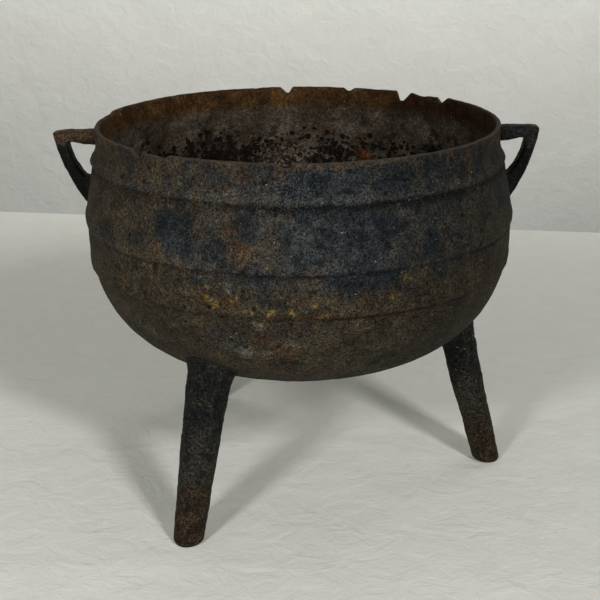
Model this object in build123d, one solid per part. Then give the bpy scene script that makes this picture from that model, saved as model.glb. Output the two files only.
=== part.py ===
from build123d import *
import math
import os

# A round-bottomed cast-iron pot on three splayed legs, with two angular ear handles.
# Frame: millimetres, +Z up, the floor at Z = 0 and the bowl's axis on Z.
# The ears lie on the X axis. The front of the pot faces -Y.

# ---------------------------------------------------------------- overall sizes
POT_HEIGHT = 308.0          # floor to the top of the rim
RIM_RADIUS = 165.0          # outside of the neck and rim
EAR_REACH = 33.0            # tip of an ear beyond the outside of the rim

# ---------------------------------------------------------------- bowl walls
LIP_WALL = 4.4              # thickness at the rim
BODY_WALL = 5.0             # thickness of the belly and the bottom
LIP_ROUND = 1.4             # radius on both edges of the rim

# ---------------------------------------------------------------- bowl bands
# Depths are measured down from the top of the rim, and bulges out from the neck.
NECK_DEPTH = 17.0           # end of the straight neck
COLLAR_DEPTH = 27.5         # crest of the collar below the neck
COLLAR_BULGE = 4.8
COLLAR_STEP = 1.4           # how far the body is set in under the collar
WAIST_DEPTH = 72.0          # crest of the ridge round the widest part
WAIST_BULGE = 11.7
WAIST_RISE = 1.6            # how far the ridge stands out from the body
LOW_BAND_DEPTH = 110.0      # crest of the faint band above the rounded bottom
LOW_BAND_BULGE = 9.6
LOW_STEP_HEIGHT = 3.6       # height over which the faint band fades into the bottom
STEP_HEIGHT = 2.6           # height over which the collar and the ridge step back in
RIDGE_HEIGHT = 5.0          # height over which the waist ridge swells and falls
RIDGE_FALL = 0.3            # how much the ridge draws in before its step

# ---------------------------------------------------------------- rounded bottom
BELLY_BULGE = 8.9           # widest point of the bottom's curve, out from the neck
KNUCKLE_RADIUS = 98.0       # curve from the side to the bottom
KNUCKLE_DEPTH = 94.0        # depth of that curve's centre
DOME_RADIUS = 293.0         # shallow dome of the bottom

# ---------------------------------------------------------------- legs
LEG_FOOT_RADIUS = 167.7     # pot axis to the centre of a foot
LEG_SPLAY = 14.7            # lean away from the vertical, degrees
LEG_FOOT_DIAMETER = 23.4
LEG_MIDDLE_DIAMETER = 28.2
LEG_ROOT_DIAMETER = 34.0
LEG_ROOT_DEPTH = 179.0      # depth below the rim at which a leg has its root diameter
LEG_ANGLES = {"leg_right": 0.0, "leg_front_left": -121.6, "leg_back_left": 121.3}

# ---------------------------------------------------------------- ears
EAR_DROP = 6.0              # top of an ear below the top of the rim
EAR_HEIGHT = 59.5           # top of an ear to its lower end on the bowl
EAR_TOP_BAR = 10.4          # thickness of the upper bar
EAR_SLANT_BAR = 11.0        # thickness of the slanted bar, measured level, under the upper bar
EAR_ROOT_BAR = 20.0         # height of the slanted bar's end where it meets the bowl
EAR_TIP_SLOPE = 3.6         # how far the upper bar falls towards its tip
EAR_TIP_SLOPE_LENGTH = 8.6
EAR_TIP_ROUND = 2.8         # radius on the corners of the tip
EAR_BOW = 3.4               # outward bow of the slanted bar
EAR_WIDTH = 14.0            # size along the rim
EAR_ROUND = 3.2             # radius on the long edges
EAR_ANGLES = {"ear_right": 0.0, "ear_left": 180.0}

# ---------------------------------------------------------------- worn rim
# Small chips broken out of the rim: direction in degrees, width and depth.
RIM_CHIPS = [
    (92.6, 9.0, 5.2),
    (72.3, 9.0, 3.0),
    (53.0, 14.0, 8.4),
    (37.0, 13.0, 5.2),
    (-92.5, 12.0, 2.8),
    (-124.3, 10.0, 2.7),
    (-135.0, 11.0, 3.2),
]

CUT_OVER = 1.0              # how far a cutting shape runs past what it cuts

# ---------------------------------------------------------------- derived heights and radii
NECK_Z = POT_HEIGHT - NECK_DEPTH
COLLAR_Z = POT_HEIGHT - COLLAR_DEPTH
WAIST_Z = POT_HEIGHT - WAIST_DEPTH
LOW_BAND_Z = POT_HEIGHT - LOW_BAND_DEPTH
KNUCKLE_Z = POT_HEIGHT - KNUCKLE_DEPTH
COLLAR_R = RIM_RADIUS + COLLAR_BULGE
WAIST_R = RIM_RADIUS + WAIST_BULGE
LOW_BAND_R = RIM_RADIUS + LOW_BAND_BULGE
KNUCKLE_R = RIM_RADIUS + BELLY_BULGE - KNUCKLE_RADIUS
DOME_Z = KNUCKLE_Z + math.sqrt((DOME_RADIUS - KNUCKLE_RADIUS) ** 2 - KNUCKLE_R**2)
BOTTOM_Z = DOME_Z - DOME_RADIUS
BODY_R = WAIST_R - WAIST_RISE
EAR_TOP_Z = POT_HEIGHT - EAR_DROP
EAR_LOW_Z = EAR_TOP_Z - EAR_HEIGHT
EAR_TIP_R = RIM_RADIUS + EAR_REACH
EAR_INSIDE_R = RIM_RADIUS - LIP_WALL


def on_circle(center_r, center_z, radius, degrees):
    """A point of a circle in the section plane."""
    turn = math.radians(degrees)
    return (center_r + radius * math.cos(turn), center_z + radius * math.sin(turn))


def bottom_arcs(inset, top_z):
    """The knuckle and the dome, inset from the outside, from top_z down to the axis."""
    knuckle = KNUCKLE_RADIUS - inset
    dome = DOME_RADIUS - inset
    start = math.degrees(math.asin((top_z - KNUCKLE_Z) / knuckle))
    end = -math.degrees(math.acos(KNUCKLE_R / (DOME_RADIUS - KNUCKLE_RADIUS)))
    ThreePointArc(
        on_circle(KNUCKLE_R, KNUCKLE_Z, knuckle, start),
        on_circle(KNUCKLE_R, KNUCKLE_Z, knuckle, (start + end) / 2),
        on_circle(KNUCKLE_R, KNUCKLE_Z, knuckle, end),
    )
    ThreePointArc(
        on_circle(0, DOME_Z, dome, end),
        on_circle(0, DOME_Z, dome, (end - 90) / 2),
        (0, DOME_Z - dome),
    )


def outer_lines(top):
    """The outside of the bowl from the neck's top down to the axis, with its three bands."""
    low_step_z = LOW_BAND_Z - LOW_STEP_HEIGHT
    knuckle_start = KNUCKLE_R + math.sqrt(KNUCKLE_RADIUS**2 - (low_step_z - KNUCKLE_Z) ** 2)
    Line(top, (RIM_RADIUS, NECK_Z))
    TangentArc((RIM_RADIUS, NECK_Z), (COLLAR_R, COLLAR_Z), tangent=(0, -1))
    Polyline(
        (COLLAR_R, COLLAR_Z),
        (COLLAR_R - COLLAR_STEP, COLLAR_Z - STEP_HEIGHT),
        (BODY_R, WAIST_Z + RIDGE_HEIGHT),
        (WAIST_R, WAIST_Z),
        (WAIST_R - RIDGE_FALL, WAIST_Z - RIDGE_HEIGHT),
        (BODY_R, WAIST_Z - RIDGE_HEIGHT - STEP_HEIGHT),
        (LOW_BAND_R, LOW_BAND_Z + RIDGE_HEIGHT),
        (LOW_BAND_R, LOW_BAND_Z),
        (knuckle_start, low_step_z),
    )
    bottom_arcs(0, low_step_z)


def inner_lines(top):
    """The inside of the bowl from the rim down to the axis. It follows the outside."""
    neck_r = RIM_RADIUS - LIP_WALL
    Polyline(
        top,
        (neck_r, NECK_Z),
        (COLLAR_R - COLLAR_STEP - BODY_WALL, COLLAR_Z - STEP_HEIGHT),
        (BODY_R - BODY_WALL, WAIST_Z),
        (KNUCKLE_R + KNUCKLE_RADIUS - BODY_WALL, KNUCKLE_Z),
    )
    bottom_arcs(BODY_WALL, KNUCKLE_Z)


def bowl_plug():
    """The bowl as if it were solid: what the legs and ears are fitted to."""
    with BuildPart() as plug:
        with BuildSketch(Plane.XZ):
            with BuildLine():
                outer_lines((RIM_RADIUS, POT_HEIGHT))
                Polyline((0, BOTTOM_Z), (0, POT_HEIGHT), (RIM_RADIUS, POT_HEIGHT))
            make_face()
        revolve(axis=Axis.Z)
    return plug.part


def rim_chip(angle, width, depth):
    """A V-shaped wedge that breaks a chip out of the rim."""
    inside = RIM_RADIUS - LIP_WALL - CUT_OVER
    with BuildPart() as wedge:
        with BuildSketch(Plane.YZ.offset(inside)):
            with BuildLine():
                Polyline(
                    (-width / 2, POT_HEIGHT + CUT_OVER),
                    (-width / 2, POT_HEIGHT),
                    (0, POT_HEIGHT - depth),
                    (width / 2, POT_HEIGHT),
                    (width / 2, POT_HEIGHT + CUT_OVER),
                    close=True,
                )
            make_face()
        extrude(amount=LIP_WALL + 2 * CUT_OVER)
    return wedge.part.rotate(Axis.Z, angle)


def make_bowl():
    """The thin-walled bowl, open at the top, with a rounded and chipped rim."""
    with BuildPart() as shell:
        with BuildSketch(Plane.XZ):
            with BuildLine():
                outer_lines((RIM_RADIUS, POT_HEIGHT - LIP_ROUND))
                RadiusArc(
                    (RIM_RADIUS, POT_HEIGHT - LIP_ROUND),
                    (RIM_RADIUS - LIP_ROUND, POT_HEIGHT),
                    -LIP_ROUND,
                )
                Line(
                    (RIM_RADIUS - LIP_ROUND, POT_HEIGHT),
                    (RIM_RADIUS - LIP_WALL + LIP_ROUND, POT_HEIGHT),
                )
                RadiusArc(
                    (RIM_RADIUS - LIP_WALL + LIP_ROUND, POT_HEIGHT),
                    (RIM_RADIUS - LIP_WALL, POT_HEIGHT - LIP_ROUND),
                    -LIP_ROUND,
                )
                inner_lines((RIM_RADIUS - LIP_WALL, POT_HEIGHT - LIP_ROUND))
                Line((0, BOTTOM_Z + BODY_WALL), (0, BOTTOM_Z))
            make_face()
        revolve(axis=Axis.Z)
    bowl = shell.part
    for angle, width, depth in RIM_CHIPS:
        bowl = bowl - rim_chip(angle, width, depth)
    return bowl


def make_leg(angle, plug):
    """A round leg with a hollow-sided taper, flat on the floor and cut to the bowl's skin."""
    upright = math.cos(math.radians(LEG_SPLAY))
    foot_r = LEG_FOOT_DIAMETER / 2
    root_r = LEG_ROOT_DIAMETER / 2
    root = (POT_HEIGHT - LEG_ROOT_DEPTH) / upright
    end = KNUCKLE_Z / upright
    with BuildPart() as leg:
        with BuildSketch(Plane.XZ):
            with BuildLine():
                Polyline((0, -foot_r), (foot_r, -foot_r), (foot_r, 0))
                ThreePointArc((foot_r, 0), (LEG_MIDDLE_DIAMETER / 2, root / 2), (root_r, root))
                Polyline((root_r, root), (root_r, end), (0, end), (0, -foot_r))
            make_face()
        revolve(axis=Axis.Z)
    placed = leg.part.rotate(Axis.Y, -LEG_SPLAY).translate((LEG_FOOT_RADIUS, 0, 0))
    placed = placed.rotate(Axis.Z, angle)
    ground_size = 2 * (LEG_FOOT_RADIUS + LEG_ROOT_DIAMETER)
    ground = Box(
        ground_size,
        ground_size,
        2 * LEG_FOOT_DIAMETER,
        align=(Align.CENTER, Align.CENTER, Align.MAX),
    )
    return placed - ground - plug


def ear_outline():
    """Outer edge of an ear: flat upper bar, sloped tip and a bowed bar down to the bowl."""
    tip_low_z = EAR_TOP_Z - EAR_TOP_BAR + EAR_TIP_SLOPE / 2
    bow = ((EAR_TIP_R + BODY_R) / 2 + EAR_BOW, (tip_low_z + EAR_LOW_Z) / 2)
    with BuildLine() as line:
        Polyline(
            (EAR_INSIDE_R, EAR_LOW_Z),
            (EAR_INSIDE_R, EAR_TOP_Z),
            (EAR_TIP_R - EAR_TIP_SLOPE_LENGTH, EAR_TOP_Z),
            (EAR_TIP_R, EAR_TOP_Z - EAR_TIP_SLOPE),
            (EAR_TIP_R, tip_low_z),
        )
        ThreePointArc((EAR_TIP_R, tip_low_z), bow, (BODY_R, EAR_LOW_Z))
        Line((BODY_R, EAR_LOW_Z), (EAR_INSIDE_R, EAR_LOW_Z))
    return line.line


def ear_hole():
    """Inner edge of an ear: the three-cornered loop between the bars and the neck."""
    top_z = EAR_TOP_Z - EAR_TOP_BAR
    low_z = EAR_LOW_Z + EAR_ROOT_BAR
    outer_r = EAR_TIP_R - EAR_SLANT_BAR
    bow = ((outer_r + COLLAR_R) / 2 + EAR_BOW, (top_z + low_z) / 2)
    with BuildLine() as line:
        Polyline((EAR_INSIDE_R, low_z), (EAR_INSIDE_R, top_z), (outer_r, top_z))
        ThreePointArc((outer_r, top_z), bow, (COLLAR_R, low_z))
        Line((COLLAR_R, low_z), (EAR_INSIDE_R, low_z))
    return line.line


def make_ear(angle, plug):
    """An angular loop handle of flat bar with rounded edges, cut to the bowl's skin."""
    with BuildPart() as ear:
        with BuildSketch(Plane.XZ) as section:
            add(make_face(ear_outline()))
            add(make_face(ear_hole()), mode=Mode.SUBTRACT)
            corners = section.vertices().sort_by(Axis.X)[-2:]
            fillet(corners, EAR_TIP_ROUND)
        extrude(amount=EAR_WIDTH / 2, both=True)
        sides = ear.faces().sort_by(Axis.Y)
        long_edges = sides[0].edges() + sides[-1].edges()
        fillet([edge for edge in long_edges if edge.center().X > RIM_RADIUS], EAR_ROUND)
    return ear.part.rotate(Axis.Z, angle) - plug


def main():
    os.makedirs("parts", exist_ok=True)
    plug = bowl_plug()
    export_step(make_bowl(), "parts/bowl.step")
    for name, angle in LEG_ANGLES.items():
        export_step(make_leg(angle, plug), f"parts/{name}.step")
    for name, angle in EAR_ANGLES.items():
        export_step(make_ear(angle, plug), f"parts/{name}.step")


main()
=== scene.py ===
import bpy
import math
import numpy as np
from mathutils import Matrix, Vector


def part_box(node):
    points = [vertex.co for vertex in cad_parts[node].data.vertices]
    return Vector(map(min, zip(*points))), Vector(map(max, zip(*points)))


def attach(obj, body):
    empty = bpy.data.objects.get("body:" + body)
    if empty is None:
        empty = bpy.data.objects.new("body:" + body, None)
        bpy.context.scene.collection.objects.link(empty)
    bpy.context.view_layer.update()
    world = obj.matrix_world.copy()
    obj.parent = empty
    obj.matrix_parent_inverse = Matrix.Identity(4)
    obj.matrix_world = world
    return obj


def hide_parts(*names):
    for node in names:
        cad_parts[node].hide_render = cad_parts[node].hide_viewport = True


# An old sand-cast iron pot: banded bowl, two angular ears, three splayed legs.
# Every mesh is worked out here in millimetres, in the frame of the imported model, and stored in metres.

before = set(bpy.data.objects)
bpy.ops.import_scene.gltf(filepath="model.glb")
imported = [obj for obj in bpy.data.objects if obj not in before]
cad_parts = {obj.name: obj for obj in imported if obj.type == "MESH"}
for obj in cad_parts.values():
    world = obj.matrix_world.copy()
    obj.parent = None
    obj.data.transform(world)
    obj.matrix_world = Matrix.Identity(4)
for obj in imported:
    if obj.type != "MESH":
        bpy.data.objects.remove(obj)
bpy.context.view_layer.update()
MM = 0.001

# ---------------------------------------------------------------- sizes read from the frame
BOWL_HIGH = np.array(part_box("bowl")[1]) / MM
EAR_HIGH = np.array(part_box("ear_right")[1]) / MM
TOP = BOWL_HIGH[2]                      # height of the rim
WAIST_BULGE = 11.7                      # waist ridge, out from the neck
RIM_R = BOWL_HIGH[1] - WAIST_BULGE      # outside of the neck
EAR_TIP_R = EAR_HIGH[0]                 # how far an ear reaches from the pot's axis
BODY_WALL = 5.0

# ---------------------------------------------------------------- section of the bowl
# Depth below the rim and bulge out from the neck, down to the start of the round bottom.
OUTSIDE = [
    (0.0, 0.0), (17.0, -0.3), (19.2, 0.3), (22.0, 1.5), (24.9, 3.3), (27.2, 5.0), (28.3, 4.8), (29.3, 2.9),
    (31.0, 3.2), (44.0, 6.0), (60.5, 9.2), (66.1, 10.0), (68.9, 10.9), (71.6, 11.8), (75.0, 11.7),
    (77.6, 11.3), (78.7, 9.7), (85.2, 10.1), (93.5, 9.9), (101.7, 9.4), (107.4, 9.8), (110.6, 9.7),
    (112.0, 7.8), (115.0, 7.1),
]
# The same wall where its steps are worn smooth.
SOFTENED = [
    (0.0, 0.0), (17.0, -0.1), (22.0, 1.0), (26.5, 3.0), (30.0, 3.6), (36.0, 4.6), (44.0, 6.0), (60.5, 9.0),
    (69.0, 10.6), (74.0, 11.1), (80.0, 10.6), (85.2, 10.2), (93.5, 9.9), (101.7, 9.5), (108.0, 9.3),
    (112.0, 8.5), (115.0, 7.1),
]
# The inner wall, stated in the same way.
INSIDE = [
    (0.0, -4.4), (9.0, -4.6), (15.0, -4.4), (20.0, -3.6), (26.0, -2.3), (34.0, -0.7), (44.0, 1.2),
    (60.0, 4.0), (72.0, 5.2), (94.0, 3.9),
]
LINES = (29.4, 78.9, 112.1)             # depths of the thin lines under the collar and the two low steps
KNUCKLE_R, KNUCKLE_Z, KNUCKLE_RADIUS = RIM_R - 89.1, TOP - 94.0, 98.0
DOME_RADIUS = 293.0
DOME_Z = KNUCKLE_Z + math.sqrt((DOME_RADIUS - KNUCKLE_RADIUS) ** 2 - KNUCKLE_R**2)
TURN = -math.acos(KNUCKLE_R / (DOME_RADIUS - KNUCKLE_RADIUS))   # where the knuckle meets the dome

# Chips broken out of the rim: direction of the left edge, the floor's two ends and the right edge, and depth.
CHIPS = [
    (95.4, 93.4, 92.6, 91.4, 5.4), (74.4, 73.0, 72.2, 70.6, 3.0), (55.7, 54.6, 53.0, 50.0, 8.6),
    (39.5, 37.9, 37.2, 34.4, 5.0), (-133.6, -135.4, -136.6, -138.6, 5.0),
    (-124.4, -126.0, -127.0, -129.4, 3.6), (-91.0, -92.2, -93.8, -96.0, 3.8),
]
# Longer stretches where the rim is worn down, stated in the same way.
WORN = [
    (50.0, 48.0, 41.0, 34.0, 1.3), (48.0, 46.5, 45.0, 43.0, 1.0), (-127.5, -129.0, -133.0, -135.0, 1.6),
    (194.0, 185.0, 165.3, 164.0, 1.5), (104.9, 103.7, 102.9, 101.5, 0.7), (65.6, 64.0, 63.0, 61.5, 0.4),
]
NECK_DEPTH = 17.0                       # depth at which the chips and the wear have faded out
# The rounded lip, from outside to inside: distance in from the neck's skin, and depth below the rim.
LIP = [(0.45, 0.45), (1.5, 0.0), (2.9, 0.0), (3.95, 0.45)]

# Rows of the bowl's mesh: depths where their spacing changes, each with the spacing that starts there.
OUTSIDE_ROWS = [
    (1.4, 2.2), (17.0, 1.15), (31.0, 2.9), (66.0, 1.1), (81.0, 3.0), (105.0, 1.15), (115.0, 1.0),
]
INSIDE_ROWS = [(1.4, 2.4), (17.0, 2.2), (31.0, 3.0), (94.0, 1.0)]
# Spacing of the rows round the knuckle and over the dome.
OUTSIDE_STEPS = (2.9, 6.5)
INSIDE_STEPS = (3.5, 7.5)
BOWL_COLUMNS = 500
LINE_REACH = 20.0                       # the mark of a thin line is stated up to this distance from it


# ---------------------------------------------------------------- repeatable noise for the meshes
def smooth(value):
    """0 below 0, 1 above 1 and an even curve between."""
    value = np.clip(value, 0.0, 1.0)
    return value * value * (3.0 - 2.0 * value)


def lattice(x, y, z, seed):
    """A repeatable value from -1 to 1 for each whole-numbered point of space."""
    mixed = x * np.int64(374761393) + y * np.int64(668265263) + z * np.int64(1440662683)
    mixed = mixed + np.int64(seed * 974634777)
    mixed = (mixed ^ (mixed >> 13)) & np.int64(0xFFFFFFFF)
    mixed = (mixed * np.int64(1274126177)) & np.int64(0xFFFFFFFF)
    mixed = mixed ^ (mixed >> 16)
    return (mixed & np.int64(0xFFFF)) / 32767.5 - 1.0


def lumps(points, size, seed):
    """Smooth noise from -1 to 1 at points, with bumps about size across."""
    scaled = points / size + 0.37 * seed
    cell = np.floor(scaled).astype(np.int64)
    part = smooth(scaled - cell)
    total = np.zeros(len(points))
    for corner in range(8):
        step = np.array([corner & 1, corner >> 1 & 1, corner >> 2 & 1])
        weight = np.prod(np.where(step, part, 1.0 - part), axis=1)
        total += weight * lattice(*(cell + step).T, seed)
    return total


def rough(points, size, octaves, seed):
    """Several layers of noise, each half the size and half the height of the last."""
    layers = [lumps(points, size / 2**k, seed + 11 * k) / 2**k for k in range(octaves)]
    return sum(layers)


# ---------------------------------------------------------------- shape of the bowl
def outside_r(z):
    """Outer radius of the bowl at a height, without its roughness."""
    z = np.asarray(z, dtype=float)
    upper = RIM_R + np.interp(TOP - z, *zip(*OUTSIDE))
    start = TOP - OUTSIDE[-1][0]
    low = KNUCKLE_R + np.sqrt(np.maximum(KNUCKLE_RADIUS**2 - (z - KNUCKLE_Z) ** 2, 0.0))
    dome = np.sqrt(np.maximum(DOME_RADIUS**2 - (z - DOME_Z) ** 2, 0.0))
    turn_z = KNUCKLE_Z + KNUCKLE_RADIUS * math.sin(TURN)
    return np.where(z > start, upper, np.where(z > turn_z, low, dome))


def lean(points):
    """The casting stands a little to +X of its feet, the belly most. All pieces follow it."""
    moved = points.copy()
    below = TOP - points[:, 2]
    moved[:, 0] += (1.0 + 0.7 * smooth(below / 60.0)) * smooth((points[:, 2] - 60.0) / 100.0)
    return moved


def notch(degrees, edges):
    """Depth of one chip or worn stretch in each direction."""
    left, floor_left, floor_right, right, depth = edges
    turned = (degrees - right) % 360.0
    stops = [0.0, floor_right - right, floor_left - right, left - right]
    return np.interp(turned, stops, [0.0, depth, depth, 0.0])


def rim_drop(degrees, points):
    """How far the top of the rim is chipped or worn down in each direction. The back stands a little high."""
    chipped = np.max([notch(degrees, edges) for edges in CHIPS], axis=0)
    worn = np.sum([notch(degrees, edges) for edges in WORN], axis=0)
    high = 0.9 * smooth(0.5 + 0.5 * np.cos(np.radians(degrees - 105.0)))
    return chipped + worn - high + 0.2 + 0.22 * rough(points, 11.0, 3, 5)


def directions(count):
    """Directions round the rim in degrees, closer together at the chips."""
    even = np.linspace(-180.0, 180.0, 7201)
    dense = np.ones(len(even))
    for left, _, _, right, _ in CHIPS:
        middle = (left + right) / 2
        dense += 2.2 * np.exp(-(((even - middle) / 3.4) ** 2))
    reach = np.cumsum(dense)
    reach = (reach - reach[0]) / (reach[-1] - reach[0])
    return np.interp(np.arange(count) / count, reach, even)


def rows(stops):
    """Evenly spaced values between stops, given as (value, step) pairs, without the last one."""
    parts = []
    for (start, step), (end, _) in zip(stops, stops[1:]):
        parts.append(np.linspace(start, end, max(2, round(abs(end - start) / step) + 1))[:-1])
    return np.concatenate(parts)


def arc(radius, center_r, center_z, start, end, step):
    """Points of a section's arc, (r, z), from start to end in radians, without the last one."""
    count = max(3, round(abs(end - start) * radius / step))
    turn = np.linspace(start, end, count + 1)[:-1]
    return np.stack([center_r + radius * np.cos(turn), center_z + radius * np.sin(turn)], axis=1)


def half_section(outline, wall, stops, steps):
    """One side of the wall from the rim down to the pole: (r, z) rows, with the rim at the first."""
    depth = rows(stops)
    upper = np.stack([RIM_R + np.interp(depth, *zip(*outline)), TOP - depth], axis=1)
    knuckle = KNUCKLE_RADIUS - wall
    start = math.asin((TOP - stops[-1][0] - KNUCKLE_Z) / knuckle)
    low = arc(knuckle, KNUCKLE_R, KNUCKLE_Z, start, TURN, steps[0])
    dome = arc(DOME_RADIUS - wall, 0.0, DOME_Z, TURN, -math.pi / 2, steps[1])
    return np.concatenate([upper, low, dome])


def mesh_object(name, points, faces, marks):
    """A smooth-shaded object from points in mm, with named numbers stored on its points."""
    mesh = bpy.data.meshes.new(name)
    mesh.from_pydata((points * MM).tolist(), [], faces)
    for label, values in marks.items():
        mesh.attributes.new(label, "FLOAT", "POINT").data.foreach_set("value", values.astype(np.float32))
    mesh.shade_smooth()
    mesh.update()
    thing = bpy.data.objects.new(name, mesh)
    bpy.context.scene.collection.objects.link(thing)
    return thing


def grid_faces(row_count, column_count):
    """Four-sided faces of a grid that closes on itself round its columns."""
    row, column = np.meshgrid(np.arange(row_count - 1), np.arange(column_count), indexing="ij")
    here = row * column_count + column
    beside = row * column_count + (column + 1) % column_count
    corners = np.stack([here, beside, beside + column_count, here + column_count], axis=-1)
    return corners.reshape(-1, 4).tolist()


def fan(ring_start, column_count, center, outward):
    """Triangles from a ring to the point in its middle."""
    ring = [(ring_start + k, ring_start + (k + 1) % column_count) for k in range(column_count)]
    return [(b, a, center) if outward else (a, b, center) for a, b in ring]


def bowl_section():
    """The wall's outline, from the pole under the pot over the lip to the pole inside it."""
    outer = half_section(OUTSIDE, 0.0, OUTSIDE_ROWS, OUTSIDE_STEPS)
    inner = half_section(INSIDE, BODY_WALL, INSIDE_ROWS, INSIDE_STEPS)
    lip = np.array([(RIM_R - inward, TOP - below) for inward, below in LIP])
    return np.concatenate([outer[::-1], lip, inner]), len(outer)


def line_distance(depth, inner_mark):
    """How far above the nearest thin line each point of the outer wall lies."""
    above = np.stack([line - depth for line in LINES])
    nearest = np.abs(above).argmin(axis=0)
    distance = np.clip(above[nearest, np.arange(len(depth))], -LINE_REACH, LINE_REACH)
    return np.where(inner_mark > 0.5, LINE_REACH, distance)


def make_bowl():
    """The thin-walled bowl: outer wall, worn lip and pitted inner wall in one closed mesh."""
    section, outer_count = bowl_section()
    lip_row = outer_count + len(LIP) // 2
    tangent = np.gradient(section, axis=0)
    tangent /= np.linalg.norm(tangent, axis=1)[:, None]
    turn = np.radians(directions(BOWL_COLUMNS))
    around = np.stack([np.cos(turn), np.sin(turn)], axis=1)
    ring = np.concatenate([around * RIM_R, np.full((BOWL_COLUMNS, 1), TOP)], axis=1)
    drop = rim_drop(np.degrees(turn), ring)

    r = np.repeat(section[:, 0], BOWL_COLUMNS)
    z = np.repeat(section[:, 1], BOWL_COLUMNS)
    row = np.repeat(np.arange(len(section)), BOWL_COLUMNS)
    side = np.tile(around, (len(section), 1))
    outward = np.repeat(tangent[:, 0], BOWL_COLUMNS)[:, None]
    upward = np.repeat(tangent[:, 1], BOWL_COLUMNS)[:, None]
    normal = np.concatenate([side * upward, -outward], axis=1)

    # the steps worn soft in places, and the rim chipped
    depth = TOP - z
    outer_wall = (row < outer_count) & (depth <= OUTSIDE[-1][0])
    smoothed = np.interp(depth, *zip(*SOFTENED)) - np.interp(depth, *zip(*OUTSIDE))
    ring_spot = np.concatenate([side * RIM_R, z[:, None]], axis=1)
    wear = 0.05 + 0.65 * smooth(0.5 + 1.1 * lumps(ring_spot, 48.0, 41))
    r = r + np.where(outer_wall, smoothed * wear, 0.0)
    near_top = np.clip(1.0 - depth / NECK_DEPTH, 0.0, 1.0)
    z = z - np.tile(drop, len(section)) * near_top
    points = np.concatenate([side * r[:, None], z[:, None]], axis=1)

    # cast lumps, and pits that are deepest low on the inside
    inner_mark = smooth((row - lip_row + 2.5) / 4.0)
    pit_size = rough(points, 6.5, 2, 31)
    deep = smooth((252.0 - z) / 22.0) * inner_mark
    pitted = inner_mark * (0.25 + 0.75 * smooth((286.0 - z) / 20.0))
    pits = smooth((pit_size - 0.25 + 0.4 * deep) / 0.5) * pitted
    height = 0.55 * rough(points, 62.0, 2, 3) + 0.20 * rough(points, 13.0, 2, 7)
    height = height + 0.16 * lumps(points, 4.6, 9)
    outer_pit = smooth((rough(points, 8.0, 2, 17) - 0.62) / 0.4) * (1.0 - inner_mark)
    height = height - 0.30 * outer_pit - (0.55 + 0.5 * deep) * pits
    height = height * np.where(TOP - z < 3.0, 0.6, 1.0)
    points = lean(points + normal * height[:, None])
    lip_mark = smooth(1.2 - np.abs(row - lip_row + 1.0) / 1.6)
    line_mark = line_distance(depth, inner_mark)

    count = len(points)
    pole = DOME_Z - DOME_RADIUS
    points = np.concatenate([points, [[0.0, 0.0, pole], [0.0, 0.0, pole + BODY_WALL]]])
    faces = grid_faces(len(section), BOWL_COLUMNS)
    faces += fan(0, BOWL_COLUMNS, count, True)
    faces += fan(count - BOWL_COLUMNS, BOWL_COLUMNS, count + 1, False)
    marks = {
        "inner": np.append(inner_mark, [0.0, 1.0]),
        "lip": np.append(lip_mark, [0.0, 0.0]),
        "pit": np.append(pits + outer_pit, [0.0, 0.0]),
        "line": np.append(line_mark, [LINE_REACH, LINE_REACH]),
    }
    return mesh_object("pot_bowl", points, faces, marks)


# ---------------------------------------------------------------- legs
LEG_FOOT_R = 167.7                      # from the pot's axis to the middle of a foot
LEG_SPLAY = math.radians(14.7)
LEG_GROWTH_LENGTH = 135.0               # length along a leg over which its growth is stated
LEG_SUNK = 2.2                          # how far a leg goes into the bowl
FOOT_ROUNDING, FOOT_ROUNDING_HEIGHT = 3.6, 4.0
# direction in degrees, foot diameter, its growth up the leg, the change in that growth, flare at the bowl
LEGS = {
    "leg_front_left": (-121.9, 23.9, 12.0, -1.6, 3.2),
    "leg_right": (0.0, 22.8, 6.8, 1.4, 5.0),
    "leg_back_left": (121.3, 23.4, 9.6, -0.2, 3.6),
}
LEG_COLUMNS, LEG_ROWS = 120, 96


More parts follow.
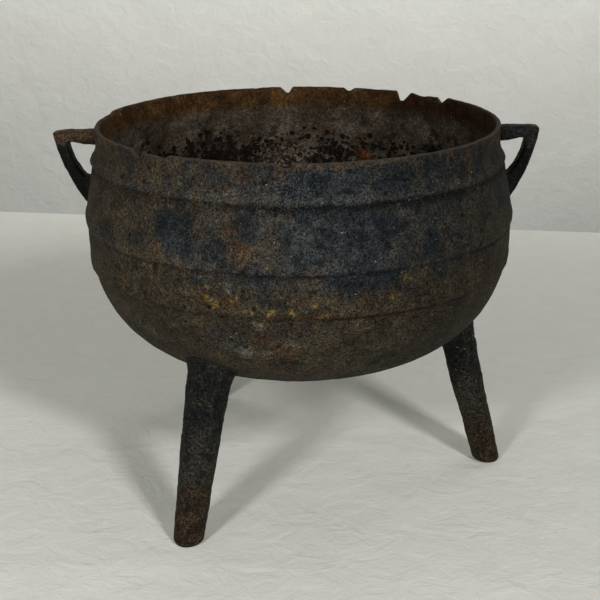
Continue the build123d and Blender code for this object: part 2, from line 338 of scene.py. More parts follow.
def make_leg(name, seed):
    """A lumpy round leg that widens upwards, with a small flare onto the bowl and a flat foot."""
    angle, foot_d, growth, bend, flare = LEGS[name]
    turn = math.radians(angle)
    east, north = math.cos(turn), math.sin(turn)
    inward, upward = math.sin(LEG_SPLAY), math.cos(LEG_SPLAY)
    up = np.array([-inward * east, -inward * north, upward])
    out = np.array([upward * east, upward * north, inward])
    side = np.array([-north, east, 0.0])
    foot = np.array([LEG_FOOT_R * east, LEG_FOOT_R * north, 0.0])
    around = 2 * math.pi * np.arange(LEG_COLUMNS) / LEG_COLUMNS
    spoke = np.cos(around)[:, None] * out + np.sin(around)[:, None] * side

    def radius(t):
        share = t / LEG_GROWTH_LENGTH
        return (foot_d + growth * share + bend * share**2) / 2

    # near and far close in on the place where each column of the leg meets the bowl
    low = -radius(0.0) * spoke[:, 2] / up[2]
    near, far = np.full(LEG_COLUMNS, 70.0), np.full(LEG_COLUMNS, 190.0)
    for _ in range(40):
        t = (near + far) / 2
        at = foot + t[:, None] * up + (radius(t) + flare / 2)[:, None] * spoke
        inside = np.hypot(at[:, 0], at[:, 1]) < outside_r(at[:, 2])
        far = np.where(inside, t, far)
        near = np.where(inside, near, t)
    share = np.concatenate([[0.0, 0.004, 0.010, 0.018], np.linspace(0.028, 1.0, LEG_ROWS - 4)])
    t = low + share[:, None] * (near + LEG_SUNK - low)
    r = radius(t) + flare * np.exp(-np.maximum(near - t, 0.0) / 6.0)
    worn_edge = np.clip(1.0 - (t - low) / FOOT_ROUNDING_HEIGHT, 0.0, 1.0)
    r = r - FOOT_ROUNDING * (1.0 - np.sqrt(1.0 - worn_edge**2))
    points = foot + t[..., None] * up + r[..., None] * spoke
    points = points.reshape(-1, 3)
    normal = np.tile(spoke, (LEG_ROWS, 1))
    upper = smooth((points[:, 2] - 55.0) / 50.0)
    height = 0.40 * rough(points, 16.0, 2, seed)
    height = height + 0.36 * rough(points, 5.0, 2, seed + 3) * (0.6 + 0.8 * upper)
    pits = smooth((rough(points, 4.6, 2, seed + 5) - 0.35) / 0.4)
    height = height - 0.60 * pits * (0.35 + 0.65 * upper)
    points = points + normal * height[:, None]
    points[:, 2] = np.maximum(points[:, 2], 0.0)
    points[:LEG_COLUMNS, 2] = 0.0
    points = lean(points)
    count = len(points)
    middle = points[-LEG_COLUMNS:].mean(axis=0) + np.array([0.0, 0.0, -1.0])
    points = np.concatenate([points, [foot, middle]])
    faces = grid_faces(LEG_ROWS, LEG_COLUMNS)
    faces += fan(0, LEG_COLUMNS, count, True)
    faces += fan(count - LEG_COLUMNS, LEG_COLUMNS, count + 1, False)
    marks = {"pit": np.append(pits, [0.0, 0.0])}
    return mesh_object("pot_" + name, points, faces, marks)


# ---------------------------------------------------------------- ears
EAR_HALF_WIDTH = 7.4
EAR_BEVEL = 2.8
EAR_BURIED = 2.3                        # how far an ear goes into the neck
EAR_TOP, EAR_UNDERSIDE = -6.0, -16.4    # heights of its top bar, from the rim
EAR_VOXEL = 0.0009


def bowed(start, bow, count, end):
    """Points from start to end, the last one left out, on a curve that stands out by bow."""
    start, end = np.array(start), np.array(end)
    along = np.linspace(0.0, 1.0, count + 1)[:-1, None]
    across = np.array([-(end - start)[1], (end - start)[0]])
    across = across / np.linalg.norm(across)
    return start + along * (end - start) + 4 * bow * along * (1 - along) * across


def ear_profile(top_shift, under_shift, outer_shift, inner_shift):
    """The solid bar of an ear: its closed outline, round the three-cornered loop."""
    tip = EAR_TIP_R + 0.4 + outer_shift
    buried = RIM_R - EAR_BURIED
    top = EAR_TOP + top_shift
    low = EAR_UNDERSIDE + under_shift
    # each corner, with the bow and the number of points of the stretch that starts there
    corners = [
        ((buried, top), 0.0, 6),
        ((tip - 9.0, top), 0.3, 4),
        ((tip + 0.6, top - 1.2), 0.1, 3),
        ((tip, top - 6.0), 3.0, 14),
        ((176.0 + outer_shift, -66.0), 0.0, 2),
        ((170.6, -67.0), 0.0, 4),
        ((168.2, -45.6), 0.0, 2),
        ((174.4 + inner_shift, -44.0), -2.2, 12),
        ((186.6 + inner_shift, low), 0.0, 2),
        ((182.0 + inner_shift, low + 0.3), 0.6, 6),
    ]
    ends = [corner for corner, _, _ in corners[1:]] + [(buried, low - 2.6)]
    return np.concatenate([bowed(*corner, end) for corner, end in zip(corners, ends)])


def make_ear(name, mirror, shifts, seed):
    """A loop ear: the outline filled, thickened and rounded, then made lumpy like the casting."""
    outline = ear_profile(*shifts)
    curve = bpy.data.curves.new(name, "CURVE")
    curve.dimensions = "2D"
    curve.fill_mode = "BOTH"
    spline = curve.splines.new("POLY")
    spline.points.add(len(outline) - 1)
    flat = [(r * MM, (TOP + depth) * MM, 0.0, 1.0) for r, depth in outline]
    spline.points.foreach_set("co", np.array(flat).ravel())
    spline.use_cyclic_u = True
    curve.offset = -EAR_BEVEL * MM
    curve.bevel_depth = EAR_BEVEL * MM
    curve.bevel_resolution = 4
    curve.extrude = (EAR_HALF_WIDTH - EAR_BEVEL) * MM
    rough_cut = bpy.data.objects.new(name, curve)
    bpy.context.scene.collection.objects.link(rough_cut)
    bpy.context.view_layer.update()
    solid = bpy.data.objects.new(name, bpy.data.meshes.new_from_object(rough_cut))
    bpy.context.scene.collection.objects.link(solid)
    bpy.data.objects.remove(rough_cut)
    remesh = solid.modifiers.new("even", "REMESH")
    remesh.mode = "VOXEL"
    remesh.voxel_size = EAR_VOXEL
    soften = solid.modifiers.new("soften", "SMOOTH")
    soften.factor = 0.5
    soften.iterations = 5
    graph = bpy.context.evaluated_depsgraph_get()
    mesh = bpy.data.meshes.new_from_object(solid.evaluated_get(graph))
    bpy.data.objects.remove(solid)
    flat = np.zeros(3 * len(mesh.vertices))
    mesh.vertices.foreach_get("co", flat)
    flat = flat.reshape(-1, 3) / MM
    points = np.stack([flat[:, 0], -flat[:, 2], flat[:, 1]], axis=1)
    normal = np.zeros(3 * len(mesh.vertices))
    mesh.vertices.foreach_get("normal", normal)
    normal = normal.reshape(-1, 3)
    normal = np.stack([normal[:, 0], -normal[:, 2], normal[:, 1]], axis=1)
    away = points[:, 0] - outside_r(points[:, 2])
    points[:, 1] *= 1.0 + 0.16 * np.exp(-np.maximum(away, 0.0) / 4.0)
    if mirror:
        points = points * np.array([-1.0, -1.0, 1.0])
        normal = normal * np.array([-1.0, -1.0, 1.0])
    height = 0.28 * rough(points, 9.0, 2, seed) + 0.18 * rough(points, 3.6, 2, seed + 2)
    points = lean(points + normal * height[:, None])
    faces = [list(face.vertices) for face in mesh.polygons]
    pits = smooth((rough(points, 4.0, 2, seed + 5) - 0.4) / 0.4)
    return mesh_object("pot_" + name, points, faces, {"pit": pits})


# ---------------------------------------------------------------- materials
class Graph:
    """Short calls that add nodes to one material."""

    def __init__(self, name):
        self.material = bpy.data.materials.new(name)
        self.material.use_nodes = True
        self.tree = self.material.node_tree
        self.tree.nodes.clear()
        self.shader = self.tree.nodes.new("ShaderNodeBsdfPrincipled")
        output = self.tree.nodes.new("ShaderNodeOutputMaterial")
        self.tree.links.new(self.shader.outputs[0], output.inputs[0])
        place = self.tree.nodes.new("ShaderNodeTexCoord").outputs["Object"]
        self.place = self.vector("SCALE", place, scale=1 / MM)

    def put(self, socket, value):
        if isinstance(value, bpy.types.NodeSocket):
            self.tree.links.new(value, socket)
        else:
            socket.default_value = value

    def math(self, operation, a, b=0.0, c=0.0, clamp=False):
        node = self.tree.nodes.new("ShaderNodeMath")
        node.operation = operation
        node.use_clamp = clamp
        self.put(node.inputs[0], a)
        self.put(node.inputs[1], b)
        if operation == "MULTIPLY_ADD":
            self.put(node.inputs[2], c)
        return node.outputs[0]

    def vector(self, operation, a, b=(0.0, 0.0, 0.0), scale=1.0):
        node = self.tree.nodes.new("ShaderNodeVectorMath")
        node.operation = operation
        self.put(node.inputs[0], a)
        if operation == "SCALE":
            self.put(node.inputs["Scale"], scale)
        elif operation != "LENGTH":
            self.put(node.inputs[1], b)
        return node.outputs["Value" if operation == "LENGTH" else "Vector"]

    def noise(self, size, seed, detail=3.0, rough=0.55, warp=0.0):
        """Noise from about 0 to 1 with features about size mm across."""
        spot = self.vector("ADD", self.place, (17.3 * seed, -9.1 * seed, 5.7 * seed))
        node = self.tree.nodes.new("ShaderNodeTexNoise")
        self.put(node.inputs["Vector"], spot)
        node.inputs["Scale"].default_value = 1.0 / size
        node.inputs["Detail"].default_value = detail
        node.inputs["Roughness"].default_value = rough
        node.inputs["Distortion"].default_value = warp
        return node.outputs["Fac"]

    def cells(self, size, seed):
        """Distance to the nearest of many scattered points, and a random value for that point."""
        node = self.tree.nodes.new("ShaderNodeTexVoronoi")
        spot = self.vector("ADD", self.place, (13.7 * seed, 7.9 * seed, -11.3 * seed))
        self.put(node.inputs["Vector"], spot)
        node.inputs["Scale"].default_value = 1.0 / size
        apart = self.tree.nodes.new("ShaderNodeSeparateColor")
        self.put(apart.inputs[0], node.outputs["Color"])
        return node.outputs["Distance"], apart.outputs[0]

    def dots(self, size, seed, radius, density):
        """Round dots on a share of the scattered points."""
        distance, chance = self.cells(size, seed)
        chosen = self.range(self.math("SUBTRACT", chance, density), 0.03, -0.03)
        return self.times(chosen, self.range(distance, radius, radius * 0.7))

    def range(self, value, low, high, to_low=0.0, to_high=1.0):
        """value taken from low..high to to_low..to_high, eased at both ends."""
        node = self.tree.nodes.new("ShaderNodeMapRange")
        node.interpolation_type = "SMOOTHSTEP"
        inputs = {"Value": value, "From Min": low, "From Max": high, "To Min": to_low, "To Max": to_high}
        for socket, number in inputs.items():
            self.put(node.inputs[socket], number)
        return node.outputs[0]

    def mark(self, name):
        node = self.tree.nodes.new("ShaderNodeAttribute")
        node.attribute_name = name
        return node.outputs["Fac"]

    def axis(self, index):
        node = self.tree.nodes.new("ShaderNodeSeparateXYZ")
        self.put(node.inputs[0], self.place)
        return node.outputs[index]

    def mix(self, amount, a, b):
        node = self.tree.nodes.new("ShaderNodeMix")
        node.data_type = "RGBA"
        self.put(node.inputs["Factor"], amount)
        self.put(node.inputs[6], a if isinstance(a, bpy.types.NodeSocket) else (*a, 1.0))
        self.put(node.inputs[7], b if isinstance(b, bpy.types.NodeSocket) else (*b, 1.0))
        return node.outputs[2]

    def patch(self, center, radius, edge, broken):
        """1 near center, falling to 0 at about radius, with an edge broken up by a noise."""
        distance = self.vector("LENGTH", self.vector("SUBTRACT", self.place, center))
        distance = self.math("ADD", distance, self.times(self.math("SUBTRACT", broken, 0.5), radius * 5.0))
        return self.range(distance, radius * (1 - edge), radius * (1 + 0.25 * edge), 1.0, 0.0)

    def times(self, *values):
        total = values[0]
        for value in values[1:]:
            total = self.math("MULTIPLY", total, value)
        return total

    def finish(self, color, roughness, height, depth):
        self.put(self.shader.inputs["Base Color"], color)
        self.put(self.shader.inputs["Roughness"], roughness)
        self.shader.inputs["Specular IOR Level"].default_value = 0.07
        bump = self.tree.nodes.new("ShaderNodeBump")
        bump.inputs["Distance"].default_value = depth * MM
        bump.inputs["Strength"].default_value = 1.0
        self.put(bump.inputs["Height"], height)
        self.put(self.shader.inputs["Normal"], bump.outputs[0])
        return self.material


def on_bowl(degrees, z):
    """A point on the outside of the bowl, in mm."""
    r = float(outside_r(z))
    a = math.radians(degrees)
    return (r * math.cos(a), r * math.sin(a), z)


SOOT = (0.0028, 0.0028, 0.0028)
BLUE = (0.0120, 0.0160, 0.0190)
GREY = (0.0190, 0.0204, 0.0203)
OLIVE = (0.0265, 0.0216, 0.0132)
RUST = (0.0420, 0.0235, 0.0108)
PALE = (0.0600, 0.0500, 0.0350)
OCHRE = (0.1450, 0.0930, 0.0210)
CRUST = (0.0900, 0.0780, 0.0580)
CHALK = (0.2600, 0.2500, 0.2200)
DARK_BLUE = (0.0060, 0.0082, 0.0102)
# lighter edge above a ring line: wear, and a painted highlight where the ridge catches light
RIDGE_WEAR_AND_HIGHLIGHT = (0.0300, 0.0305, 0.0295)
# painted shadow: near-black colour in the groove under each ring line
GROOVE_SHADOW = (0.0042, 0.0036, 0.0030)
FLECK = (0.085, 0.086, 0.082)
# top of the lip: lighter for wear, and a painted highlight where light falls on its top face
LIP_WEAR_AND_HIGHLIGHT = (0.054, 0.041, 0.030)
NECK_BROWNS = (0.033, 0.0155, 0.0048), (0.044, 0.0225, 0.0072)
NECK_SHADE = (0.016, 0.006, 0.002)
ASHES = (0.042, 0.0325, 0.0215), (0.055, 0.046, 0.034)
INSIDE_RUST = (0.036, 0.018, 0.007)
PIT_BROWN = (0.0045, 0.0028, 0.0016)
BURNT = (0.0060, 0.0036, 0.0020)
SCALES = (0.018, 0.010, 0.005), (0.120, 0.100, 0.076)
ORANGE_RUST = (0.110, 0.036, 0.008)
LEG_BLACKS = (0.0045, 0.0052, 0.0052), (0.0130, 0.0130, 0.0110)
LEG_BROWN = (0.0215, 0.0195, 0.0145)
FOOT_BROWNS = (0.014, 0.009, 0.005), (0.034, 0.020, 0.010)
LEG_CRUST = (0.040, 0.033, 0.023)
LEG_SALT = (0.050, 0.043, 0.031)
LEG_CHIP = (0.16, 0.145, 0.115)
EAR_BLACKS = (0.0024, 0.0027, 0.0022), (0.0070, 0.0072, 0.0062)
# painted highlight along the top bar of the ears
EAR_TOP_HIGHLIGHT = (0.0125, 0.0130, 0.0120)
EAR_RUST = (0.0400, 0.0235, 0.0115)
EAR_TIP_RUST = (0.0340, 0.0220, 0.0140)
EAR_CHIP = (0.080, 0.075, 0.062)

# Marks left by use and weather on the outside of the bowl: direction in degrees, height and size in mm.
OCHRE_SPOTS = [
    (-112.4, 208.8, 3.3), (-111.2, 207.2, 2.8), (-109.9, 204.8, 3.2), (-110.4, 202.6, 1.8),
    (-112.2, 217.5, 1.8), (-106.0, 208.6, 1.8), (-104.6, 211.5, 1.6), (-101.0, 200.5, 1.8),
    (-102.6, 201.6, 1.6), (-96.2, 201.8, 2.4), (-97.0, 199.6, 1.6), (-92.4, 209.8, 2.0),
    (-91.6, 202.2, 2.3), (-91.0, 200.4, 1.5), (-99.0, 190.6, 2.2), (-63.8, 222.5, 2.6),
    (-62.6, 220.6, 1.9), (-67.2, 208.5, 2.3), (-86.0, 206.5, 1.8), (-84.5, 197.8, 2.1),
    (-83.2, 199.4, 1.7), (-58.0, 226.6, 1.8), (-97.0, 236.0, 1.5), (-56.0, 207.0, 1.6),
]
DARK_ZONES = [
    (-84.5, 294.5, 9.0), (-59.0, 295.0, 11.0), (-51.0, 294.0, 11.0), (-42.0, 294.5, 10.0),
    (-32.0, 293.5, 10.0), (-84.0, 253.0, 14.0), (-89.5, 267.0, 8.0), (-74.0, 246.0, 12.0),
    (-68.0, 265.0, 14.0), (-128.0, 258.0, 10.0), (-118.0, 262.0, 9.0),
]
BLUE_ZONES = [
    (-80.0, 290.0, 34.0), (-86.0, 252.0, 30.0), (-125.0, 264.0, 26.0), (-104.0, 288.0, 22.0),
    (-112.0, 167.0, 17.0),
]
PALE_SPOTS = [
    (-99.6, 189.0, 5.2), (-103.8, 163.5, 9.5), (-98.5, 164.0, 8.0), (-92.0, 175.0, 5.5),
    (-107.0, 218.5, 4.0),
]
RUST_SPOTS = [
    (-108.2, 289.0, 4.0), (-107.0, 270.0, 6.0), (-106.4, 259.0, 8.0), (-104.4, 248.0, 9.0),
    (-102.4, 239.0, 9.0), (-126.0, 237.0, 11.0), (-119.0, 229.0, 10.0), (-113.5, 211.0, 7.5),
    (-122.5, 203.5, 6.0), (-107.0, 206.0, 9.0), (-94.5, 170.0, 10.0), (-99.5, 177.0, 11.0),
    (-74.5, 209.5, 9.0), (-103.5, 298.5, 7.0), (-95.0, 300.5, 6.0), (-129.0, 299.5, 6.0),
    (-133.0, 298.0, 6.0), (-40.0, 296.0, 8.0), (-141.0, 206.0, 7.0), (-92.5, 158.0, 7.0),
]


def bowl_graph():
    """The bowl's material graph, with the places and noises that its layers share."""
    g = Graph("bowl_iron")
    g.x, g.z = g.axis(0), g.axis(2)
    g.big = g.noise(75, 1, 2, 0.5)
    g.blot = g.noise(25, 2, 6, 0.62)
    g.mid = g.noise(8, 3, 5, 0.68)
    g.fine = g.noise(2.7, 4, 4, 0.78)
    g.grit = g.noise(1.3, 5, 1, 0.6)
    g.crumble = g.noise(13, 6, 6, 0.72)
    return g


def spots(g, color, places, edge, broken, strength, paint):
    """One kind of mark, painted at each of its places on the bowl."""
    for degrees, height, size in places:
        shape = g.patch(on_bowl(degrees, height), size, edge, broken)
        color = g.mix(g.times(shape, strength), color, paint)
    return color


def skin_colors(g):
    """Blue-black and grey iron, weathered brown at the sides and low down, and how weathered it is."""
    blend = g.math("ADD", g.times(g.blot, 0.6), g.times(g.mid, 0.4))
    color = g.mix(g.range(blend, 0.42, 0.60), BLUE, GREY)
    weather = g.math("ADD", g.range(g.x, 40.0, -150.0, 0.05, 1.0), g.range(g.z, 238.0, 192.0, 0.0, 1.0))
    weather = g.math("ADD", weather, g.range(g.x, 30.0, 140.0, 0.0, 0.70))
    weather = g.math("ADD", weather, g.times(g.math("SUBTRACT", g.big, 0.52), 1.6))
    weather = g.math("ADD", weather, g.times(g.math("SUBTRACT", g.blot, 0.52), 2.6))
    for degrees, height, size in BLUE_ZONES:
        zone = g.patch(on_bowl(degrees, height), size, 0.9, g.big)
        weather = g.math("SUBTRACT", weather, g.times(zone, 0.55))
    weather = g.math("MAXIMUM", weather, 0.0, clamp=True)
    return g.mix(g.times(weather, 0.92), color, OLIVE), weather


def stained(g, color, weather):
    """Rust, dark patches, pale crust and ochre fragments over the skin."""
    rust = g.times(g.range(g.crumble, 0.51, 0.64), g.range(weather, 0.2, 1.0, 0.05, 0.55))
    strip = g.times(g.range(g.z, 300.5, 305.0), g.range(g.mid, 0.40, 0.60))
    strip = g.times(strip, g.range(g.blot, 0.40, 0.56, 0.1, 0.7))
    color = g.mix(g.math("MAXIMUM", rust, strip), color, RUST)
    color = spots(g, color, DARK_ZONES, 0.95, g.blot, 0.62, DARK_BLUE)
    color = spots(g, color, RUST_SPOTS, 0.95, g.crumble, 0.62, RUST)
    pale = g.range(g.noise(6.5, 7, 5, 0.78), 0.54, 0.70)
    color = g.mix(g.times(pale, g.range(g.z, 225.0, 165.0, 0.15, 0.90)), color, PALE)
    color = spots(g, color, PALE_SPOTS, 0.9, g.mid, g.range(g.fine, 0.38, 0.52, 0.3, 0.9), CRUST)
    return spots(g, color, OCHRE_SPOTS, 0.9, g.fine, g.range(g.grit, 0.38, 0.50, 0.55, 1.0), OCHRE)


def lined(g, color, weather):
    """Rusty lines under the collar and the low steps, each with a painted shadow in its groove and a soft
    painted shadow band under the collar; the edge above each is painted lighter, for wear and as a painted
    highlight.
    """
    wavy = g.math("ADD", g.mark("line"), g.times(g.math("SUBTRACT", g.mid, 0.5), 3.6))
    broken = g.range(g.noise(34, 17, 3, 0.6), 0.40, 0.60)
    # edge above each upper ring line painted lighter: partly wear, partly a painted highlight of the ridge
    # catching light
    edge = g.times(g.range(wavy, 0.4, 2.0), g.range(wavy, 9.0, 3.0), g.range(g.z, 200.0, 215.0))
    color = g.mix(g.times(edge, g.range(g.fine, 0.36, 0.60, 0.15, 0.55)), color, RIDGE_WEAR_AND_HIGHLIGHT)
    wide = g.range(g.math("ABSOLUTE", g.math("SUBTRACT", wavy, 1.2)), 4.2, 0.6)
    color = g.mix(g.times(wide, g.range(g.crumble, 0.44, 0.60), weather, 0.8), color, RUST)
    # painted shadow along the groove just under each ring line, stronger towards +X and broken along its
    # length
    groove_shadow = g.times(g.range(wavy, 1.2, -0.4), g.range(wavy, -4.2, -0.6))
    groove_shadow = g.times(groove_shadow, g.range(g.x, -150.0, -20.0, 0.35, 1.0))
    color = g.mix(g.times(groove_shadow, g.math("MULTIPLY_ADD", broken, 0.75, 0.08)), color, GROOVE_SHADOW)
    # painted shadow: a soft dark band a few millimetres under the collar line, stronger towards +X
    shade = g.times(g.range(wavy, 0.5, -2.0), g.range(wavy, -10.0, -2.0), g.range(g.z, 255.0, 265.0))
    shade = g.times(shade, g.range(g.x, -70.0, 0.0, 0.25, 0.75))
    color = g.vector("SCALE", color, scale=g.math("SUBTRACT", 1.0, shade))
    below = g.range(g.math("ABSOLUTE", g.math("ADD", wavy, 3.0)), 1.2, 0.2)
    return g.mix(g.times(below, g.range(g.fine, 0.56, 0.66), g.range(g.blot, 0.46, 0.6)), color, PALE)


def inside_colors(g):
    """Brown neck, ashy band, then dark pits that run together lower down, and where those pits are."""
    neck = g.mix(g.range(g.blot, 0.40, 0.62), *NECK_BROWNS)
    neck = g.mix(g.range(g.x, 40.0, 150.0, 0.0, 0.8), neck, NECK_SHADE)
    ashy = g.mix(g.range(g.blot, 0.38, 0.62), *ASHES)
    color = g.mix(g.range(g.math("ADD", g.z, g.times(g.blot, 12.0)), 302.0, 290.0), neck, ashy)
    color = g.mix(g.times(g.range(g.crumble, 0.50, 0.66), 0.45), color, INSIDE_RUST)
    uneven = g.times(g.math("SUBTRACT", g.noise(30, 9, 2, 0.5), 0.5), 1.6)
    crowd = g.math("ADD", g.range(g.z, 274.0, 244.0, 0.0, 1.2), uneven)
    crowd = g.math("SUBTRACT", crowd, g.range(g.z, 268.0, 284.0, 0.0, 0.7))
    crowd = g.times(crowd, g.range(g.z, 150.0, 225.0, 0.45, 1.0))
    pits = g.math("MAXIMUM", g.dots(6.6, 8, 0.48, crowd), g.dots(4.4, 12, 0.44, g.times(crowd, 0.6)))
    crust = g.range(g.math("ADD", g.noise(6, 13, 3, 0.6), g.times(crowd, 0.18)), 0.71, 0.76)
    pits = g.math("MAXIMUM", pits, crust)
    color = g.mix(g.times(pits, 0.95), color, PIT_BROWN)
    burnt = g.patch((-72.0, 146.0, 245.0), 27.0, 0.95, g.crumble)
    color = g.mix(g.times(burnt, 0.85), color, BURNT)
    scale = g.patch((-10.0, 170.0, 236.0), 22.0, 0.9, g.mid)
    color = g.mix(g.times(scale, 0.9), color, g.mix(g.range(g.fine, 0.44, 0.64), *SCALES))
    orange = g.patch((66.5, 157.5, 241.0), 8.0, 0.9, g.mid)
    return g.mix(g.times(orange, 0.8), color, ORANGE_RUST), pits


def grained(g, color, inner):
    """Salt-and-pepper grain, pits, flecks and the lip's top painted lighter, for wear and as a painted
    highlight, over everything, and where the pocks are.
    """
    outer = g.math("SUBTRACT", 1.0, inner)
    salt = g.times(g.range(g.grit, 0.60, 0.70), g.range(g.z, 245.0, 165.0, 0.15, 0.75), outer)
    gritty = g.math("SUBTRACT", g.range(g.grit, 0.30, 0.70, 0.48, 1.60), 1.04)
    gritty = g.times(gritty, g.math("SUBTRACT", 1.0, g.times(inner, 0.35)))
    color = g.vector("SCALE", color, scale=g.math("ADD", gritty, 1.04))
    color = g.vector("SCALE", color, scale=g.range(g.fine, 0.32, 0.70, 0.58, 1.50))
    color = g.vector("SCALE", color, scale=g.range(g.mid, 0.32, 0.68, 0.68, 1.34))
    color = g.vector("SCALE", color, scale=g.range(g.blot, 0.32, 0.68, 0.72, 1.28))
    color = g.vector("SCALE", color, scale=g.range(g.x, 10.0, 110.0, 1.16, 0.80))
    color = g.mix(g.times(salt, g.range(g.crumble, 0.42, 0.56)), color, PALE)
    color = g.mix(g.times(g.range(g.mark("pit"), 0.15, 0.85), 0.6), color, SOOT)
    pocks = g.times(g.dots(8.5, 16, 0.24, 0.22), outer)
    color = g.mix(g.times(pocks, 0.8), color, SOOT)
    fleck_zone = g.patch(on_bowl(-92.5, 291.0), 24.0, 0.9, g.crumble)
    color = g.mix(g.times(fleck_zone, g.range(g.grit, 0.60, 0.68), 0.55), color, FLECK)
    color = g.mix(g.range(g.noise(1.8, 10, 1, 0.5), 0.765, 0.79), color, CHALK)
    # the lip's top painted lighter: wear, and a painted highlight of light from above
    worn = g.times(g.mark("lip"), g.range(g.mid, 0.35, 0.6, 0.55, 0.95))
    return g.mix(worn, color, LIP_WEAR_AND_HIGHLIGHT), pocks


def bowl_iron():
    """Sooty blue-black iron with grey grain, brown weathering, rust, ochre spots and pale crust."""
    g = bowl_graph()
    color, weather = skin_colors(g)
    color = stained(g, color, weather)
    color = lined(g, color, weather)
    inside, pits = inside_colors(g)
    inner = g.mark("inner")
    color, pocks = grained(g, g.mix(inner, color, inside), inner)
    pepper = g.range(g.grit, 0.40, 0.32)
    height = g.math("ADD", g.times(g.fine, 1.0), g.times(g.grit, 0.5))
    height = g.math("ADD", height, g.times(g.mid, 1.1))
    height = g.math("SUBTRACT", height, g.times(pits, inner, 0.9))
    height = g.math("SUBTRACT", height, g.times(g.math("ADD", pocks, pepper), 0.5))
    return g.finish(color, g.range(g.mid, 0.3, 0.7, 0.58, 0.85), height, 0.9)


def leg_iron():
    """Nearly black rough iron that turns brown and rusty towards the foot."""
    g = Graph("leg_iron")
    x, z = g.axis(0), g.axis(2)
    blot = g.noise(22, 21, 4, 0.6)
    mid = g.noise(9, 22, 5, 0.68)
    fine = g.noise(2.5, 23, 4, 0.78)
    grit = g.noise(1.3, 24, 1, 0.6)
    wobble = g.math("ADD", z, g.times(g.math("SUBTRACT", blot, 0.5), 70.0))
    color = g.mix(g.range(mid, 0.40, 0.64), *LEG_BLACKS)
    color = g.mix(g.times(g.range(wobble, 104.0, 72.0), 0.8), color, LEG_BROWN)
    foot = g.range(wobble, 62.0, 20.0)
    color = g.mix(g.times(foot, 0.9), color, g.mix(g.range(mid, 0.40, 0.62), *FOOT_BROWNS))
    color = g.mix(g.times(g.range(g.noise(6, 25, 5, 0.75), 0.55, 0.68), 0.4), color, LEG_CRUST)
    color = g.vector("SCALE", color, scale=g.range(grit, 0.30, 0.70, 0.38, 1.80))
    color = g.vector("SCALE", color, scale=g.range(fine, 0.32, 0.70, 0.45, 1.75))
    color = g.mix(g.times(g.range(grit, 0.60, 0.70), g.range(mid, 0.46, 0.58), 0.7), color, LEG_SALT)
    color = g.mix(g.times(g.range(g.mark("pit"), 0.2, 0.9), 0.6), color, SOOT)
    chips = g.math("ADD", g.noise(2.6, 26, 2, 0.6), g.range(x, 60.0, 140.0, 0.0, 0.035))
    color = g.mix(g.range(chips, 0.715, 0.755), color, LEG_CHIP)
    height = g.math("ADD", g.times(fine, 1.1), g.times(grit, 0.6))
    height = g.math("ADD", height, g.times(mid, 1.2))
    return g.finish(color, g.range(mid, 0.3, 0.7, 0.5, 0.8), height, 0.9)


def ear_iron():
    """Nearly black iron with a painted highlight along the top of the ear, rusty along the top of the ear at
    -X.
    """
    g = Graph("ear_iron")
    x, z = g.axis(0), g.axis(2)
    mid = g.noise(8, 42, 5, 0.65)
    fine = g.noise(2.4, 43, 4, 0.75)
    grit = g.noise(1.3, 45, 1, 0.6)
    color = g.mix(g.range(mid, 0.40, 0.64), *EAR_BLACKS)
    # painted highlight: the top bar of the ear made a lighter grey
    lit = g.times(g.range(z, 284.0, 294.0), g.range(mid, 0.34, 0.6, 0.3, 1.0))
    color = g.mix(g.times(lit, 0.7), color, EAR_TOP_HIGHLIGHT)
    rusty = g.times(g.range(z, 287.0, 296.0), g.range(x, 0.0, -100.0))
    color = g.mix(g.times(rusty, g.range(mid, 0.30, 0.5, 0.5, 0.95)), color, EAR_RUST)
    tip = g.times(g.range(x, 189.0, 196.0), g.range(mid, 0.42, 0.56))
    color = g.mix(g.times(tip, 0.7), color, EAR_TIP_RUST)
    color = g.vector("SCALE", color, scale=g.range(grit, 0.30, 0.70, 0.40, 1.80))
    color = g.vector("SCALE", color, scale=g.range(fine, 0.32, 0.70, 0.42, 1.85))
    color = g.mix(g.range(g.noise(2.8, 44, 2, 0.6), 0.70, 0.75), color, EAR_CHIP)
    height = g.math("ADD", g.times(fine, 1.0), g.times(mid, 1.1))
    return g.finish(color, g.range(mid, 0.3, 0.7, 0.45, 0.75), height, 0.7)


# ---------------------------------------------------------------- floor, wall, light and camera
EDGE_Y, EDGE_TURN = 811.0, math.radians(-9.7)   # the floor's back edge, and its turn seen from above
WALL_Y = 1750.0
WALL_HEIGHTS = (-1500.0, 2500.0)
STAGE_REACH, FLOOR_STEPS = 9000.0, 60
FLOOR_Z = -0.2                          # just under the feet
FLOOR_TINT = (0.735, 0.733, 0.672)
WALL_TINT = (0.770, 0.768, 0.705)


def pale_cloth(name, tint):
    """Matt pale cloth with small wrinkles."""
    g = Graph(name)
    ripple = g.noise(30, 61, 5, 0.6, warp=0.7)
    folds = g.noise(160, 63, 2, 0.5, warp=0.5)
    weave = g.noise(3.0, 62, 3, 0.7)
    crumple = g.noise(13, 64, 4, 0.65, warp=1.0)
    color = g.mix(g.range(ripple, 0.3, 0.7), tuple(0.97 * part for part in tint), tint)
    height = g.math("ADD", g.times(ripple, 2.2), g.times(crumple, 0.55))
    height = g.math("ADD", height, g.times(weave, 0.10))
    height = g.math("ADD", height, g.times(folds, 6.0))
    return g.finish(color, 0.9, height, 1.0)


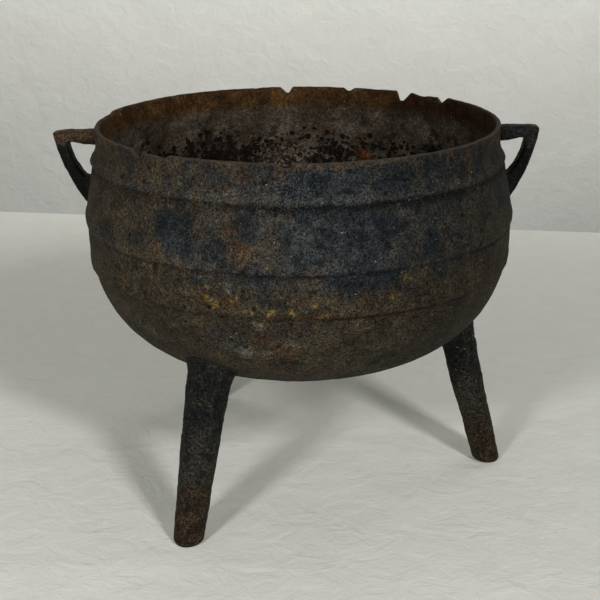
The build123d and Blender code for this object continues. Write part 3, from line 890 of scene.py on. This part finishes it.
def make_stage():
    """A pale cloth floor with a straight back edge, and a pale wall beyond it, behind every view."""
    steps = FLOOR_STEPS
    across = np.linspace(-STAGE_REACH, STAGE_REACH, steps)
    xs, shares = np.meshgrid(across, np.linspace(0.0, 1.0, steps))
    ys = -STAGE_REACH + shares * (STAGE_REACH + EDGE_Y + xs * math.tan(EDGE_TURN))
    floor_points = np.stack([xs.ravel(), ys.ravel(), np.full(xs.size, FLOOR_Z)], axis=1)
    faces = []
    for row in range(steps - 1):
        for column in range(steps - 1):
            here = row * steps + column
            faces.append((here, here + 1, here + steps + 1, here + steps))
    floor = mesh_object("floor", floor_points, faces, {})
    floor.data.materials.append(pale_cloth("floor_cloth", FLOOR_TINT))
    along = np.array([math.cos(EDGE_TURN), math.sin(EDGE_TURN)])
    foot = np.array([0.0, WALL_Y])
    ends = [foot - along * STAGE_REACH, foot + along * STAGE_REACH]
    wall_points = np.array([[*end, height] for height in WALL_HEIGHTS for end in ends])
    wall = mesh_object("wall", wall_points, [(0, 1, 3, 2)], {})
    wall.data.materials.append(pale_cloth("wall_cloth", WALL_TINT))


ROOM_COLOR, ROOM_STRENGTH = (0.97, 0.99, 1.0, 1.0), 0.11
# name, place, target, width and height, in metres, and power in watts
LAMPS = [
    ("left_lamp", (-0.62, -1.25, 0.80), (0.0, 0.2, 0.15), (0.20, 0.20), 10.6),
    ("right_lamp", (0.98, -1.96, 1.48), (0.0, 0.2, 0.15), (0.30, 0.30), 33.0),
    ("ceiling", (0.0, 0.1, 2.2), (0.0, 0.1, 0.0), (1.6, 1.6), 1.3),
    ("left_fill", (-1.05, 0.90, 1.25), (0.0, 0.0, 0.17), (0.7, 0.7), 2.5),
    ("right_fill", (1.05, 0.90, 1.25), (0.0, 0.0, 0.17), (0.7, 0.7), 2.5),
    ("wall_lamp", (-0.20, 1.30, 0.74), (-0.14, 1.75, 0.12), (2.4, 0.4), 6.8),
]


def area_light(name, at, target, size, power):
    data = bpy.data.lights.new(name, "AREA")
    data.shape = "RECTANGLE"
    data.size, data.size_y = size
    data.energy = power
    light = bpy.data.objects.new(name, data)
    bpy.context.scene.collection.objects.link(light)
    light.location = at
    light.rotation_euler = (Vector(target) - Vector(at)).to_track_quat("-Z", "Y").to_euler()


def make_light():
    """Two small lamps in front, weak ones above and behind, and one for the wall, in a dim pale room."""
    world = bpy.data.worlds.new("studio")
    world.use_nodes = True
    world.node_tree.nodes["Background"].inputs[0].default_value = ROOM_COLOR
    world.node_tree.nodes["Background"].inputs[1].default_value = ROOM_STRENGTH
    bpy.context.scene.world = world
    for lamp in LAMPS:
        area_light(*lamp)


CAMERA_AT = (-0.0008, -1.01696, 0.49866)
CAMERA_YAW, CAMERA_PITCH, CAMERA_ROLL = math.radians(0.14), math.radians(18.83), math.radians(-0.5254)
CAMERA_LENS = 75.04


def make_camera():
    """The camera stands in front, above the rim, and looks down into the pot."""
    data = bpy.data.cameras.new("camera")
    data.lens = CAMERA_LENS
    data.sensor_width = 36.0
    camera = bpy.data.objects.new("camera", data)
    bpy.context.scene.collection.objects.link(camera)
    level = Vector((math.cos(CAMERA_YAW), -math.sin(CAMERA_YAW), 0.0))
    forward = Vector((
        math.sin(CAMERA_YAW) * math.cos(CAMERA_PITCH),
        math.cos(CAMERA_YAW) * math.cos(CAMERA_PITCH),
        -math.sin(CAMERA_PITCH),
    ))
    over = level.cross(forward)
    right = math.cos(CAMERA_ROLL) * level + math.sin(CAMERA_ROLL) * over
    up = -math.sin(CAMERA_ROLL) * level + math.cos(CAMERA_ROLL) * over
    turned = Matrix((right, up, -forward)).transposed().to_4x4()
    camera.matrix_world = Matrix.Translation(CAMERA_AT) @ turned
    bpy.context.scene.camera = camera


# ---------------------------------------------------------------- the pot
def place(piece, node, slot, material):
    piece.data.materials.append(material)
    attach(piece, "root")
    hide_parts(node)


def main():
    make_camera()
    make_light()
    make_stage()
    place(make_bowl(), "bowl", "bowl_iron", bowl_iron())
    legs = leg_iron()
    for seed, name in enumerate(LEGS):
        place(make_leg(name, 101 + 20 * seed), name, "leg_iron", legs)
    ears = ear_iron()
    place(make_ear("ear_right", False, (0.0, 0.6, -1.2, -0.2), 201), "ear_right", "ear_iron", ears)
    place(make_ear("ear_left", True, (-0.8, 0.2, 0.9, 1.7), 221), "ear_left", "ear_iron", ears)
    bpy.context.scene.view_settings.view_transform = "Standard"


main()
